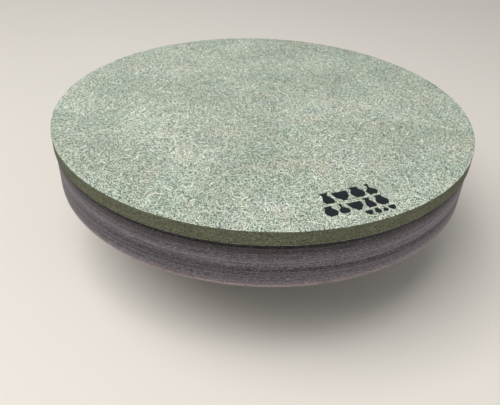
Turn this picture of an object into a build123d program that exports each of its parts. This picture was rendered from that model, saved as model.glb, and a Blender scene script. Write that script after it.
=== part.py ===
"""Potter's wheel head with its throwing bat, on the bearing unit that it turns on.

The axis of rotation is +Z. The origin is on that axis, on the plane where the bearing housing's
flange sits on the wheel's deck. All sizes are in millimetres. The bat pins stand on the X axis.
"""
from build123d import *
import os

# ---- driving dimensions ----
bat_diameter = 306.0
bat_thickness = 10.0
head_diameter = 304.0
head_depth = 32.5
rim_clearance = 63.5
pin_spacing = 254.0

head_plate = 10.0
head_skirt = 11.0
head_top_round = 4.0
head_bottom_round = 2.5
hub_diameter = 58.0
hub_below_rim = 6.5
rib_count = 6
rib_thickness = 7.0
groove_step = 12.0
groove_depth = 0.4

bearing_bore = 25.0
bearing_outside = 52.0
bearing_width = 15.0
ball_diameter = 7.94
ball_count = 9
race_clearance = 0.15
running_gap = 0.3
inner_ring_shoulder = 16.3
outer_ring_shoulder = 22.2
ring_bevel = 0.5
lower_bearing_z = 8.0
bearing_land = 4.0
outer_clip_thickness = 1.9
inner_clip_thickness = 1.2
outer_clip_bite = 1.5
inner_clip_bite = 0.6

flange_diameter = 150.0
flange_thickness = 10.0
flange_bolt_circle = 124.0
flange_bolt_count = 4
flange_hole_diameter = 9.0
tower_diameter = 70.0
tower_top_z = 48.0

spindle_end_z = 3.0
collar_diameter = 38.0
collar_height = 5.0
drive_bore_diameter = 12.0
drive_bore_depth = 34.0
drive_key_width = 4.0
slinger_diameter = 82.0
slinger_sheet = 1.5

# ---- fasteners ----
pin_thread = 6.0
pin_head_diameter = 10.0
pin_head_height = 6.0
pin_length = 25.0
pin_hex = 5.0
pin_hex_depth = 3.0
washer_diameter = 12.5
washer_thickness = 1.6
socket_clearance = 0.2
socket_depth = 7.0
set_screw_count = 3
set_screw_diameter = 8.0
set_screw_length = 14.0
set_screw_hex = 4.0
set_screw_tip_radius = 2.8
dimple_depth = 0.8
hub_key_width = 6.0
hub_key_length = 22.0
key_in_shaft = 3.2
key_in_hub = 2.8

# ---- levels and radii that follow ----
head_bottom_z = rim_clearance
head_top_z = head_bottom_z + head_depth
plate_under_z = head_top_z - head_plate
hub_bottom_z = head_bottom_z - hub_below_rim
head_radius = head_diameter / 2
pin_x = pin_spacing / 2
upper_bearing_z = lower_bearing_z + bearing_width + bearing_land
shaft_radius = bearing_bore / 2
housing_seat = bearing_outside / 2
ball_circle_radius = (bearing_bore + bearing_outside) / 4
seal_seat_radius = shaft_radius + 1.5
nose_radius = shaft_radius - 0.5
nose_top_z = head_top_z - 7
collar_under_z = hub_bottom_z - collar_height
key_low_z = hub_bottom_z + 4
set_screw_z = hub_bottom_z + 6
set_screw_turn = 60.0


# ---- shapes used by several pieces ----
def turned(*outline):
    """A solid of revolution about Z, from corners given as (radius, height)."""
    return revolve(Plane.XZ * make_face(Polyline(*outline, close=True)), Axis.Z)


def ring(inner, outer, low, high, bevel=0.0):
    """A ring between two radii and two heights, with bevelled edges where asked."""
    body = Pos(0, 0, low) * extrude(Circle(outer) - Circle(inner), high - low)
    if bevel:
        body = chamfer(body.edges().filter_by(GeomType.CIRCLE), bevel)
    return body


def upright(radius, low, high, x=0.0):
    """An upright cylinder between two heights."""
    return Pos(x, 0, (low + high) / 2) * Cylinder(radius, high - low)


def along_x(radius, start, end, z):
    """A cylinder that lies along X at a given height."""
    return Pos((start + end) / 2, 0, z) * Rot(0, 90, 0) * Cylinder(radius, end - start)


def block(x_low, x_high, width, z_low, z_high):
    """A box between two X values and two heights, centred on Y."""
    centre = Pos((x_low + x_high) / 2, 0, (z_low + z_high) / 2)
    return centre * Box(x_high - x_low, width, z_high - z_low)


def slab(thickness, *outline):
    """A flat plate through the axis, from corners given as (x, z)."""
    side = Plane.XZ * make_face(Polyline(*outline, close=True))
    return extrude(side, thickness / 2, both=True)


def hexagon(across_flats, depth):
    """A six-sided socket, standing on the XY plane."""
    return extrude(RegularPolygon(across_flats / 2, 6, major_radius=False), depth)


def polar(count, first_angle=0.0):
    """Rotations about Z that share one turn out evenly."""
    return [Rot(0, 0, first_angle + step * 360 / count) for step in range(count)]


def at_pins(shape):
    """One copy of a shape, drawn on the axis, at each bat pin."""
    return [Pos(x, 0, 0) * shape for x in (-pin_x, pin_x)]


def end_circle(shape, top):
    """The highest or the lowest circular edge of a shape."""
    edges = shape.edges().filter_by(GeomType.CIRCLE).sort_by(Axis.Z)
    return edges[-1] if top else edges[0]


# ---- the throwing bat: a disc of board with two blind pin sockets underneath ----
def throwing_bat():
    arris = 0.5
    disc = upright(bat_diameter / 2, head_top_z, head_top_z + bat_thickness)
    disc = chamfer(disc.edges().filter_by(GeomType.CIRCLE), arris)
    socket_radius = pin_head_diameter / 2 + socket_clearance
    for socket in at_pins(upright(socket_radius, head_top_z - 1, head_top_z + socket_depth)):
        disc -= socket
    return disc


# ---- the wheel head: one casting, with plate, skirt, hub and ribs ----
def head_blank():
    """The turned shape of the casting, before its ribs and holes."""
    skirt_draft = 2.5
    hub_draft = 3.0
    inner_round = 5.0
    skirt_high = head_radius - head_skirt
    skirt_low = skirt_high + skirt_draft
    hub_low = hub_diameter / 2
    hub_high = hub_low + hub_draft
    outline = make_face(
        Polyline(
            (0, head_top_z),
            (head_radius, head_top_z),
            (head_radius, head_bottom_z),
            (skirt_low, head_bottom_z),
            (skirt_high, plate_under_z),
            (hub_high, plate_under_z),
            (hub_low, hub_bottom_z),
            (0, hub_bottom_z),
            close=True,
        )
    )
    rounds = [
        (head_top_round, head_radius, head_top_z),
        (head_bottom_round, head_radius, head_bottom_z),
        (head_bottom_round, skirt_low, head_bottom_z),
        (inner_round, skirt_high, plate_under_z),
        (inner_round, hub_high, plate_under_z),
        (head_bottom_round / 2, hub_low, hub_bottom_z),
    ]
    for size, radius, height in rounds:
        corner = outline.vertices().sort_by_distance((radius, height, 0))[0]
        outline = fillet(corner, size)
    return revolve(Plane.XZ * outline, Axis.Z)


def head_rib():
    """One rib, from the hub out to the skirt, shallower at its outer end."""
    drop_at_hub = 16.0
    drop_at_skirt = 9.0
    start = hub_diameter / 2 - 4
    end = head_radius - head_skirt + 2
    return slab(
        rib_thickness,
        (start, plate_under_z + 1),
        (start, plate_under_z - drop_at_hub),
        (end, plate_under_z - drop_at_skirt),
        (end, plate_under_z + 1),
    )


def centring_grooves():
    """Shallow V grooves in the head's top, clear of the pins and of the rounded edge."""
    pin_keep_out = 8.0
    above = 0.1
    count = int((head_radius - head_top_round) / groove_step)
    grooves = []
    for radius in [groove_step * step for step in range(2, count + 1)]:
        if abs(radius - pin_x) > pin_keep_out:
            grooves.append(
                turned(
                    (radius - groove_depth - above, head_top_z + above),
                    (radius, head_top_z - groove_depth),
                    (radius + groove_depth + above, head_top_z + above),
                )
            )
    return grooves


def wheel_head():
    pin_hole_radius = pin_thread / 2 + 0.3
    screw_hole_end = hub_diameter / 2 + 7
    body = head_blank()
    for turn in polar(rib_count, 180 / rib_count):
        body += turn * head_rib()
    for groove in centring_grooves():
        body -= groove
    for hole in at_pins(upright(pin_hole_radius, plate_under_z - 5, head_top_z + 1)):
        body -= hole
    body -= upright(nose_radius, hub_bottom_z - 1, nose_top_z)
    key_reach = nose_radius + key_in_hub
    body -= block(0, key_reach, hub_key_width, hub_bottom_z - 1, key_low_z + hub_key_length)
    screw_hole = along_x(set_screw_diameter / 2, nose_radius - 1, screw_hole_end, set_screw_z)
    for turn in polar(set_screw_count, set_screw_turn):
        body -= turn * screw_hole
    return body


# ---- what fixes the head to the spindle ----
def hub_set_screws():
    """Grub screws, each with its tip in a dimple of the spindle's nose."""
    tip = nose_radius - dimple_depth
    tip_length = 2.0
    end = tip + set_screw_length
    screw = along_x(set_screw_diameter / 2, tip + tip_length, end, set_screw_z)
    screw = chamfer(screw.edges().filter_by(GeomType.CIRCLE), 0.6)
    screw += along_x(set_screw_tip_radius, tip, tip + tip_length + 1, set_screw_z)
    socket = Rot(0, 90, 0) * hexagon(set_screw_hex, set_screw_hex)
    screw -= Pos(end - set_screw_hex, 0, set_screw_z) * socket
    return Compound([turn * screw for turn in polar(set_screw_count, set_screw_turn)])


def hub_key():
    inner = nose_radius - key_in_shaft
    outer = nose_radius + key_in_hub
    key = block(inner, outer, hub_key_width, key_low_z, key_low_z + hub_key_length)
    return chamfer(key.edges().filter_by(Axis.Z), running_gap)


# ---- bat pins: socket-head screws whose heads locate the bat, held by wing nuts ----
def bat_pins():
    head_bevel = 0.6
    thread_bevel = 0.8
    head_end_z = head_top_z + pin_head_height
    pin = upright(pin_head_diameter / 2, head_top_z, head_end_z)
    pin = chamfer(end_circle(pin, top=True), head_bevel)
    shank = upright(pin_thread / 2, head_top_z - pin_length, head_top_z + 1)
    pin += chamfer(end_circle(shank, top=False), thread_bevel)
    pin -= Pos(0, 0, head_end_z - pin_hex_depth) * hexagon(pin_hex, pin_hex_depth + 1)
    return Compound(at_pins(pin))


def bat_pin_washers():
    bore = pin_thread / 2 + 0.2
    washer = ring(bore, washer_diameter / 2, plate_under_z - washer_thickness, plate_under_z, 0.2)
    return Compound(at_pins(washer))


def bat_pin_wing_nuts():
    """Wing nuts with their wings down, in line with the rim so that they clear the skirt."""
    seat_z = plate_under_z - washer_thickness
    barrel_height = 8.0
    barrel_wide = 6.2
    barrel_narrow = 5.2
    wing_thickness = 2.4
    wing_round = 1.6
    barrel = turned(
        (pin_thread / 2, seat_z),
        (barrel_wide, seat_z),
        (barrel_narrow, seat_z - barrel_height),
        (pin_thread / 2, seat_z - barrel_height),
    )
    wing = slab(
        wing_thickness,
        (4.2, seat_z - 1.5),
        (9.0, seat_z - 4.0),
        (15.0, seat_z - 10.5),
        (14.2, seat_z - 14.2),
        (9.5, seat_z - 13.6),
        (4.2, seat_z - 7.5),
    )
    outer_corners = wing.edges().filter_by(Axis.Y).sort_by(Axis.X)[-3:]
    wing = fillet(outer_corners, wing_round)
    nut = barrel + wing + Rot(0, 0, 180) * wing
    return Compound(at_pins(Rot(0, 0, 90) * nut))


# ---- the spindle, and what sits on it ----
def spindle():
    end_bevel = 1.0
    nose_bevel = 1.5
    seat_top_z = upper_bearing_z + bearing_width
    collar_radius = collar_diameter / 2
    shaft = turned(
        (0, spindle_end_z),
        (shaft_radius - end_bevel, spindle_end_z),
        (shaft_radius, spindle_end_z + end_bevel),
        (shaft_radius, seat_top_z),
        (seal_seat_radius, seat_top_z),
        (seal_seat_radius, collar_under_z),
        (collar_radius, collar_under_z),
        (collar_radius, hub_bottom_z),
        (nose_radius, hub_bottom_z),
        (nose_radius, nose_top_z - nose_bevel),
        (nose_radius - nose_bevel, nose_top_z),
        (0, nose_top_z),
    )
    groove_radius = shaft_radius - inner_clip_bite
    shaft -= ring(groove_radius, shaft_radius + 1, lower_bearing_z - inner_clip_thickness, lower_bearing_z)
    key_floor = nose_radius - key_in_shaft
    shaft -= block(key_floor, nose_radius + 1, hub_key_width, key_low_z, key_low_z + hub_key_length)
    dimple = along_x(set_screw_tip_radius, nose_radius - dimple_depth, nose_radius + 1, set_screw_z)
    for turn in polar(set_screw_count, set_screw_turn):
        shaft -= turn * dimple
    bore_radius = drive_bore_diameter / 2
    keyway_depth = 1.8
    keyway_short = 4.0
    bore_top_z = spindle_end_z + drive_bore_depth
    shaft -= upright(bore_radius, spindle_end_z - 1, bore_top_z)
    keyway_reach = bore_radius + keyway_depth
    shaft -= block(0, keyway_reach, drive_key_width, spindle_end_z - 1, bore_top_z - keyway_short)
    return shaft


def circlip(inner, outer, thickness, lug_reach, lug_angle):
    """A snap ring under the lower bearing, with a gap between two drilled lugs."""
    low = lower_bearing_z - thickness
    lug_radius = 2.2
    hole_radius = 0.9
    clip = ring(inner, outer, low, lower_bearing_z)
    clip -= block(0, outer + 1, 2 * lug_radius, low - 1, lower_bearing_z + 1)
    for turn in (Rot(0, 0, lug_angle), Rot(0, 0, -lug_angle)):
        clip += turn * upright(lug_radius, low, lower_bearing_z, lug_reach)
        clip -= turn * upright(hole_radius, low - 1, lower_bearing_z + 1, lug_reach)
    return clip


def spindle_circlip():
    ring_width = 3.2
    inner = shaft_radius - inner_clip_bite
    return circlip(inner, inner + ring_width, inner_clip_thickness, shaft_radius + 2.4, 10.0)


def housing_circlip():
    ring_width = 4.0
    outer = housing_seat + outer_clip_bite
    return circlip(outer - ring_width, outer, outer_clip_thickness, housing_seat - 2.6, 7.0)


def bearing_spacer():
    wall = 3.0
    low = lower_bearing_z + bearing_width
    return ring(shaft_radius, shaft_radius + wall, low, low + bearing_land, running_gap)


def splash_slinger():
    """A spun disc that throws water clear of the bearing, with its lip down round the tower."""
    top = collar_under_z
    under = top - slinger_sheet
    lip_radius = slinger_diameter / 2
    lip_low_z = tower_top_z - 5
    corner = 3.0
    inner_corner = corner + 0.6
    boss = 1.5
    return turned(
        (seal_seat_radius, top),
        (lip_radius - corner, top),
        (lip_radius, top - corner),
        (lip_radius, lip_low_z),
        (lip_radius - slinger_sheet, lip_low_z),
        (lip_radius - slinger_sheet, top - inner_corner),
        (lip_radius - inner_corner, under),
        (seal_seat_radius + boss, under),
        (seal_seat_radius + boss, under - 1),
        (seal_seat_radius, under - 1),
    )


# ---- a deep-groove ball bearing, in its separate pieces ----
def race(low):
    """The ring-shaped space that the balls roll in."""
    middle = Pos(0, 0, low + bearing_width / 2)
    return middle * Torus(ball_circle_radius, ball_diameter / 2 + race_clearance)


def bearing_inner_ring(low):
    return ring(shaft_radius, inner_ring_shoulder, low, low + bearing_width, ring_bevel) - race(low)


def bearing_outer_ring(low):
    return ring(outer_ring_shoulder, housing_seat, low, low + bearing_width, ring_bevel) - race(low)


def bearing_balls(low):
    ball = Pos(ball_circle_radius, 0, low + bearing_width / 2) * Sphere(ball_diameter / 2)
    return Compound([turn * ball for turn in polar(ball_count)])


def bearing_cage(low):
    middle = low + bearing_width / 2
    half_height = 5.0
    half_wall = 0.95
    pocket_radius = ball_diameter / 2 + race_clearance
    inner = ball_circle_radius - half_wall
    outer = ball_circle_radius + half_wall
    body = ring(inner, outer, middle - half_height, middle + half_height)
    pocket = along_x(pocket_radius, inner - 2, outer + 2, middle)
    for turn in polar(ball_count):
        body -= turn * pocket
    return body


def bearing_seals(low):
    sheet = 0.8
    faces = (low + ring_bevel, low + bearing_width - ring_bevel - sheet)
    lip = inner_ring_shoulder + running_gap
    return Compound([ring(lip, outer_ring_shoulder, z, z + sheet) for z in faces])


# ---- the fixed side: housing and lip seal ----
def housing_gusset():
    tower = tower_diameter / 2
    foot = flange_diameter / 2 - 6
    below_top = 12.0
    return slab(
        8.0,
        (tower - 2, flange_thickness - 1),
        (foot, flange_thickness - 1),
        (foot, flange_thickness + 2),
        (tower + 2, tower_top_z - below_top),
        (tower - 2, tower_top_z - below_top),
    )


def bearing_housing():
    land_low = lower_bearing_z + bearing_width
    recess_radius = 30.0
    recess_top = 5.0
    land_width = 4.0
    tower = tower_diameter / 2
    flange = flange_diameter / 2
    edge = 2.0
    spot_face_radius = 10.0
    body = turned(
        (recess_radius, 0),
        (flange - edge / 2, 0),
        (flange, edge / 2),
        (flange, flange_thickness - edge),
        (flange - edge, flange_thickness),
        (tower + 2 * edge, flange_thickness),
        (tower, flange_thickness + 2 * edge),
        (tower, tower_top_z - edge),
        (tower - edge, tower_top_z),
        (housing_seat, tower_top_z),
        (housing_seat, upper_bearing_z),
        (housing_seat - land_width, upper_bearing_z),
        (housing_seat - land_width, land_low),
        (housing_seat, land_low),
        (housing_seat, recess_top),
        (recess_radius, recess_top),
    )
    for turn in polar(flange_bolt_count):
        body += turn * housing_gusset()
    bolt_x = flange_bolt_circle / 2
    above = flange_thickness + 5
    for turn in polar(flange_bolt_count, 180 / flange_bolt_count):
        body -= turn * upright(flange_hole_diameter / 2, -1, above, bolt_x)
        body -= turn * upright(spot_face_radius, flange_thickness - 1, above, bolt_x)
    clip_low_z = lower_bearing_z - outer_clip_thickness
    body -= ring(housing_seat - 1, housing_seat + outer_clip_bite, clip_low_z, lower_bearing_z)
    return body


def shaft_lip_seal():
    low = upper_bearing_z + bearing_width + ring_bevel
    shell = 2.5
    web = 2.2
    lip_radius = seal_seat_radius + running_gap
    return turned(
        (housing_seat, low),
        (housing_seat, tower_top_z),
        (lip_radius + shell, tower_top_z),
        (lip_radius, tower_top_z - web + 0.7),
        (lip_radius + 1.2, tower_top_z - web),
        (housing_seat - shell, tower_top_z - web),
        (housing_seat - shell, low),
    )


def assembly():
    """Every node's name, with its solid or group of solids."""
    return {
        "throwing_bat": throwing_bat(),
        "wheel_head": wheel_head(),
        "bat_pins": bat_pins(),
        "bat_pin_washers": bat_pin_washers(),
        "bat_pin_wing_nuts": bat_pin_wing_nuts(),
        "hub_set_screws": hub_set_screws(),
        "hub_key": hub_key(),
        "spindle": spindle(),
        "splash_slinger": splash_slinger(),
        "spindle_circlip": spindle_circlip(),
        "bearing_spacer": bearing_spacer(),
        "upper_bearing_inner_ring": bearing_inner_ring(upper_bearing_z),
        "lower_bearing_inner_ring": bearing_inner_ring(lower_bearing_z),
        "upper_bearing_balls": bearing_balls(upper_bearing_z),
        "lower_bearing_balls": bearing_balls(lower_bearing_z),
        "upper_bearing_cage": bearing_cage(upper_bearing_z),
        "lower_bearing_cage": bearing_cage(lower_bearing_z),
        "upper_bearing_outer_ring": bearing_outer_ring(upper_bearing_z),
        "lower_bearing_outer_ring": bearing_outer_ring(lower_bearing_z),
        "upper_bearing_seals": bearing_seals(upper_bearing_z),
        "lower_bearing_seals": bearing_seals(lower_bearing_z),
        "shaft_lip_seal": shaft_lip_seal(),
        "housing_circlip": housing_circlip(),
        "bearing_housing": bearing_housing(),
    }


os.makedirs("parts", exist_ok=True)
for name, shape in assembly().items():
    export_step(shape, f"parts/{name}.step")
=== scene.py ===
import math

import bmesh
import bpy
from mathutils import Matrix, Vector


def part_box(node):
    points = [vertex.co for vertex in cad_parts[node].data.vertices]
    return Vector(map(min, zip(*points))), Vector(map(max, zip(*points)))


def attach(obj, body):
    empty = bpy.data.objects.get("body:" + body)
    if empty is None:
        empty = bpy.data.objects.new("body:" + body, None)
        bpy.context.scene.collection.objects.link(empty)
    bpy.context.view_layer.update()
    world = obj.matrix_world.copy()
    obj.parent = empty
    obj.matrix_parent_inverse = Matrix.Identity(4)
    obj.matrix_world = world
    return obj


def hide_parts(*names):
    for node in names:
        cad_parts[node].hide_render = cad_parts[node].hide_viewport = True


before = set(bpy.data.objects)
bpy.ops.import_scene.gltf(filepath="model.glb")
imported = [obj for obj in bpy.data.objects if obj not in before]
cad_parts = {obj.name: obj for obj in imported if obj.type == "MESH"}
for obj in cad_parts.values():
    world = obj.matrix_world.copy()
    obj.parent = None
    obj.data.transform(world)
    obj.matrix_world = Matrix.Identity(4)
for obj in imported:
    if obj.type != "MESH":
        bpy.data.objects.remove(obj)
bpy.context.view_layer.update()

# ---------------------------------------------------------------------------------------------
# The stage. The unit stands by its flange on a plain pale floor, under one broad soft lamp
# overhead and a weak one at the right, and is seen from the potter's side, a little from above.
# ---------------------------------------------------------------------------------------------


def add(tree, kind, inputs=None, **settings):
    """Adds a node with its settings, and fills or links its inputs by name or number."""
    made = tree.nodes.new(kind)
    for name, value in settings.items():
        setattr(made, name, value)
    for name, value in (inputs or {}).items():
        socket = made.inputs[name]
        if isinstance(value, bpy.types.NodeSocket):
            tree.links.new(value, socket)
        else:
            socket.default_value = value
    return made


def tint(red, green, blue):
    """A colour from the levels of a paint card, 0 to 255."""
    parts = [level / 255 for level in (red, green, blue)]
    return tuple(((part + 0.055) / 1.055) ** 2.4 for part in parts) + (1.0,)


def new_finish(name, colour, roughness, metallic=0.0):
    """A material with its node tree and its shader."""
    material = bpy.data.materials.new(name)
    material.use_nodes = True
    shader = material.node_tree.nodes["Principled BSDF"]
    shader.inputs["Base Color"].default_value = colour
    shader.inputs["Roughness"].default_value = roughness
    shader.inputs["Metallic"].default_value = metallic
    return material, material.node_tree, shader


def place(tree, shift=(0, 0, 0), stretch=(1, 1, 1)):
    """The point on the piece in metres, shifted and stretched where a pattern needs it."""
    point = add(tree, "ShaderNodeTexCoord").outputs["Object"]
    mapping = {"Vector": point, "Location": shift, "Scale": stretch}
    return add(tree, "ShaderNodeMapping", mapping).outputs["Vector"]


def noise(tree, point, per_metre, detail=2.0, roughness=0.5, distortion=0.0):
    """Cloudy noise with a given number of patches to the metre."""
    inputs = {
        "Vector": point,
        "Scale": per_metre,
        "Detail": detail,
        "Roughness": roughness,
        "Distortion": distortion,
    }
    return add(tree, "ShaderNodeTexNoise", inputs).outputs["Fac"]


def mix(tree, amount, first, second, blend="MIX"):
    """Mixes two colours."""
    inputs = {0: amount, 6: first, 7: second}
    made = add(tree, "ShaderNodeMix", inputs, data_type="RGBA", blend_type=blend)
    return made.outputs[2]


floor_half = 6.0
floor_mesh = bpy.data.meshes.new("floor")
floor_corners = [(x, y, 0) for x, y in ((-1, -1), (1, -1), (1, 1), (-1, 1))]
floor_mesh.from_pydata([Vector(corner) * floor_half for corner in floor_corners], [], [(0, 1, 2, 3)])
floor = bpy.data.objects.new("floor", floor_mesh)
bpy.context.collection.objects.link(floor)
floor_paint, floor_tree, floor_shader = new_finish("floor paint", tint(226, 220, 210), 0.75)
floor_cloud = noise(floor_tree, place(floor_tree), 3.0, 4)
floor_colour = mix(floor_tree, floor_cloud, tint(224, 217, 206), tint(229, 223, 214))
floor_tree.links.new(floor_colour, floor_shader.inputs["Base Color"])
floor_mesh.materials.append(floor_paint)


def soft_lamp(name, side, power, position, target):
    """A square diffused lamp that faces a point."""
    lamp = bpy.data.lights.new(name, "AREA")
    lamp.shape = "SQUARE"
    lamp.size = side
    lamp.energy = power
    holder = bpy.data.objects.new(name, lamp)
    bpy.context.collection.objects.link(holder)
    holder.location = position
    holder.rotation_euler = (Vector(target) - Vector(position)).to_track_quat("-Z", "Y").to_euler()


board_low, board_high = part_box("throwing_bat")
board_centre = Vector((0, 0, board_high.z))
soft_lamp("overhead lamp", 1.4, 27.0, (-0.56, -0.42, 1.50), board_centre)
soft_lamp("side lamp", 0.6, 4.4, (1.45, -0.80, 0.46), board_centre)
room_light = 0.33
world = bpy.data.worlds.new("room")
world.use_nodes = True
world.node_tree.nodes["Background"].inputs["Color"].default_value = tint(236, 238, 242)
world.node_tree.nodes["Background"].inputs["Strength"].default_value = room_light
bpy.context.scene.world = world
bpy.context.scene.view_settings.view_transform = "Standard"

camera_height_angle = math.radians(35.2)
camera_roll = math.radians(2.13)
camera_distance = 0.4148
board_right_of_aim = 0.0097
board_above_aim = 0.0729
lens = 39.6
looking = Vector((0, math.cos(camera_height_angle), -math.sin(camera_height_angle)))
level_right = Vector((1, 0, 0))
level_up = level_right.cross(looking)
right = level_right * math.cos(camera_roll) + level_up * math.sin(camera_roll)
upward = level_up * math.cos(camera_roll) - level_right * math.sin(camera_roll)
camera = bpy.data.objects.new("camera", bpy.data.cameras.new("camera"))
bpy.context.collection.objects.link(camera)
camera.data.sensor_width = 36.0
camera.data.lens = lens
camera.data.clip_start = 0.01
stand = board_centre - looking * camera_distance - right * board_right_of_aim - upward * board_above_aim
turn = Matrix((right, upward, -looking)).transposed()
camera.matrix_world = Matrix.Translation(stand) @ turn.to_4x4()
bpy.context.scene.camera = camera


# ---------------------------------------------------------------------------------------------
# The bearing housing. A sand-cast iron flange with a tower and four gussets, dipped in dark grey
# enamel. The enamel rounds off the sand's grain, and is thin and rubbed on the high spots.
# ---------------------------------------------------------------------------------------------


def calc(tree, operation, *values, clamp=False):
    """One step of arithmetic on numbers."""
    inputs = dict(enumerate(values))
    return add(tree, "ShaderNodeMath", inputs, operation=operation, use_clamp=clamp).outputs[0]


def spread(tree, value, low, high, out_low=0.0, out_high=1.0):
    """Stretches a number from one range onto another, and holds it there."""
    inputs = {0: value, 1: low, 2: high, 3: out_low, 4: out_high}
    return add(tree, "ShaderNodeMapRange", inputs).outputs[0]


def ramp(tree, value, *stops):
    """A colour that follows a number through the stops given."""
    made = add(tree, "ShaderNodeValToRGB", {"Fac": value})
    elements = made.color_ramp.elements
    elements.remove(elements[1])
    elements[0].position, elements[0].color = stops[0]
    for position, colour in stops[1:]:
        elements.new(position).color = colour
    return made.outputs["Color"]


def relief(tree, shader, height, depth):
    """Raises and lowers the surface's shading by a height pattern, with a depth in metres."""
    inputs = {"Height": height, "Distance": depth, "Strength": 1.0}
    tree.links.new(add(tree, "ShaderNodeBump", inputs).outputs["Normal"], shader.inputs["Normal"])


enamel, tree, shader = new_finish("grey enamel on sand-cast iron", tint(74, 80, 84), 0.38)
point = place(tree)
sand_grain = noise(tree, point, 620, 3, 0.55)
sand_swell = noise(tree, point, 90, 2)
enamel_colour = ramp(
    tree,
    noise(tree, point, 35, 4, 0.6),
    (0.30, tint(62, 68, 73)),
    (0.55, tint(76, 83, 87)),
    (0.75, tint(88, 94, 97)),
)
dust = spread(tree, noise(tree, point, 150, 5, 0.7), 0.56, 0.72, 0.0, 0.45)
enamel_colour = mix(tree, dust, enamel_colour, tint(150, 144, 134))
tree.links.new(enamel_colour, shader.inputs["Base Color"])
tree.links.new(spread(tree, sand_grain, 0.3, 0.7, 0.30, 0.52), shader.inputs["Roughness"])
relief(tree, shader, calc(tree, "ADD", sand_grain, calc(tree, "MULTIPLY", sand_swell, 2.0)), 0.00025)
shader.inputs["Coat Weight"].default_value = 0.25
shader.inputs["Coat Roughness"].default_value = 0.22


def dress(material, *names):
    """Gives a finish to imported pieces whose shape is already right."""
    for name in names:
        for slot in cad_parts[name].material_slots:
            slot.material = material


dress(enamel, "bearing_housing")


# ---------------------------------------------------------------------------------------------
# The two ball bearings. Rings and balls are hardened chromium steel, ground and polished, the
# cages are moulded nylon, and the seals are black nitrile rubber pressed into the outer rings.
# ---------------------------------------------------------------------------------------------


def out_from_axis(tree, parts):
    """How far a point lies from the axis, from its separate X and Y."""
    flat = add(tree, "ShaderNodeCombineXYZ", {0: parts[0], 1: parts[1]}).outputs[0]
    return add(tree, "ShaderNodeVectorMath", {0: flat}, operation="LENGTH").outputs["Value"]


def turning_noise(tree, across, along, detail=2.0, roughness=0.5, centre=(0, 0, 0)):
    """Noise drawn out into rings round the axis, as a lathe or a grinding wheel leaves."""
    point = place(tree, [-value for value in centre])
    parts = add(tree, "ShaderNodeSeparateXYZ", {0: point}).outputs
    ringed = {
        0: calc(tree, "MULTIPLY", out_from_axis(tree, parts), across),
        1: calc(tree, "MULTIPLY", parts[2], across),
        2: calc(tree, "MULTIPLY", parts[0], along),
    }
    inputs = {
        "Vector": add(tree, "ShaderNodeCombineXYZ", ringed).outputs[0],
        "W": calc(tree, "MULTIPLY", parts[1], along),
        "Scale": 1.0,
        "Detail": detail,
        "Roughness": roughness,
    }
    return add(tree, "ShaderNodeTexNoise", inputs, noise_dimensions="4D").outputs["Fac"]


def worked_steel(name, dark, light, across, roughness, depth, metallic=1.0):
    """Bright steel with rings of grinding or turning, and a little oil staining."""
    material, tree, shader = new_finish(name, light, sum(roughness) / 2, metallic)
    rings = turning_noise(tree, across, 25, 3, 0.6)
    darkening = noise(tree, place(tree), 110, 4, 0.6)
    colour = mix(tree, spread(tree, rings, 0.3, 0.7), dark, light)
    colour = mix(tree, spread(tree, darkening, 0.5, 0.75, 0.0, 0.4), colour, dark)
    tree.links.new(colour, shader.inputs["Base Color"])
    wear = calc(tree, "ADD", rings, calc(tree, "MULTIPLY", darkening, 0.6))
    tree.links.new(spread(tree, wear, 0.5, 1.1, *roughness), shader.inputs["Roughness"])
    relief(tree, shader, rings, depth)
    return material


bearing_steel = worked_steel(
    "polished bearing steel", tint(168, 168, 170), tint(214, 214, 216), 2600, (0.10, 0.22), 0.000004
)
dress(
    bearing_steel,
    "upper_bearing_outer_ring",
    "lower_bearing_outer_ring",
    "upper_bearing_inner_ring",
    "lower_bearing_inner_ring",
    "upper_bearing_balls",
    "lower_bearing_balls",
)

nylon, tree, shader = new_finish("natural nylon", tint(226, 218, 196), 0.45)
point = place(tree)
flow = noise(tree, point, 160, 3)
tree.links.new(
    mix(tree, flow, tint(216, 206, 180), tint(233, 227, 208)), shader.inputs["Base Color"]
)
tree.links.new(spread(tree, flow, 0.3, 0.7, 0.38, 0.52), shader.inputs["Roughness"])
shader.inputs["Subsurface Weight"].default_value = 0.15
shader.inputs["Subsurface Radius"].default_value = (0.002, 0.0015, 0.001)
relief(tree, shader, noise(tree, point, 1400, 2), 0.00002)
dress(nylon, "upper_bearing_cage", "lower_bearing_cage")

rubber, tree, shader = new_finish("black nitrile rubber", tint(34, 34, 35), 0.6)
point = place(tree)
bloom = noise(tree, point, 180, 4, 0.65)
tree.links.new(mix(tree, bloom, tint(26, 26, 27), tint(56, 55, 53)), shader.inputs["Base Color"])
tree.links.new(spread(tree, bloom, 0.3, 0.7, 0.5, 0.78), shader.inputs["Roughness"])
relief(tree, shader, noise(tree, point, 2400, 2), 0.00002)
dress(rubber, "upper_bearing_seals", "lower_bearing_seals", "shaft_lip_seal")


# ---------------------------------------------------------------------------------------------
# The spindle, spacer and key are ground bright steel. The two circlips and the hub's set screws
# are spring and alloy steel with a black oxide finish, oiled, and rubbed bright at the corners.
# ---------------------------------------------------------------------------------------------
ground_steel = worked_steel(
    "ground steel", tint(128, 128, 130), tint(176, 176, 178), 1500, (0.22, 0.40), 0.00001
)
dress(ground_steel, "spindle", "bearing_spacer", "hub_key")

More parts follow.
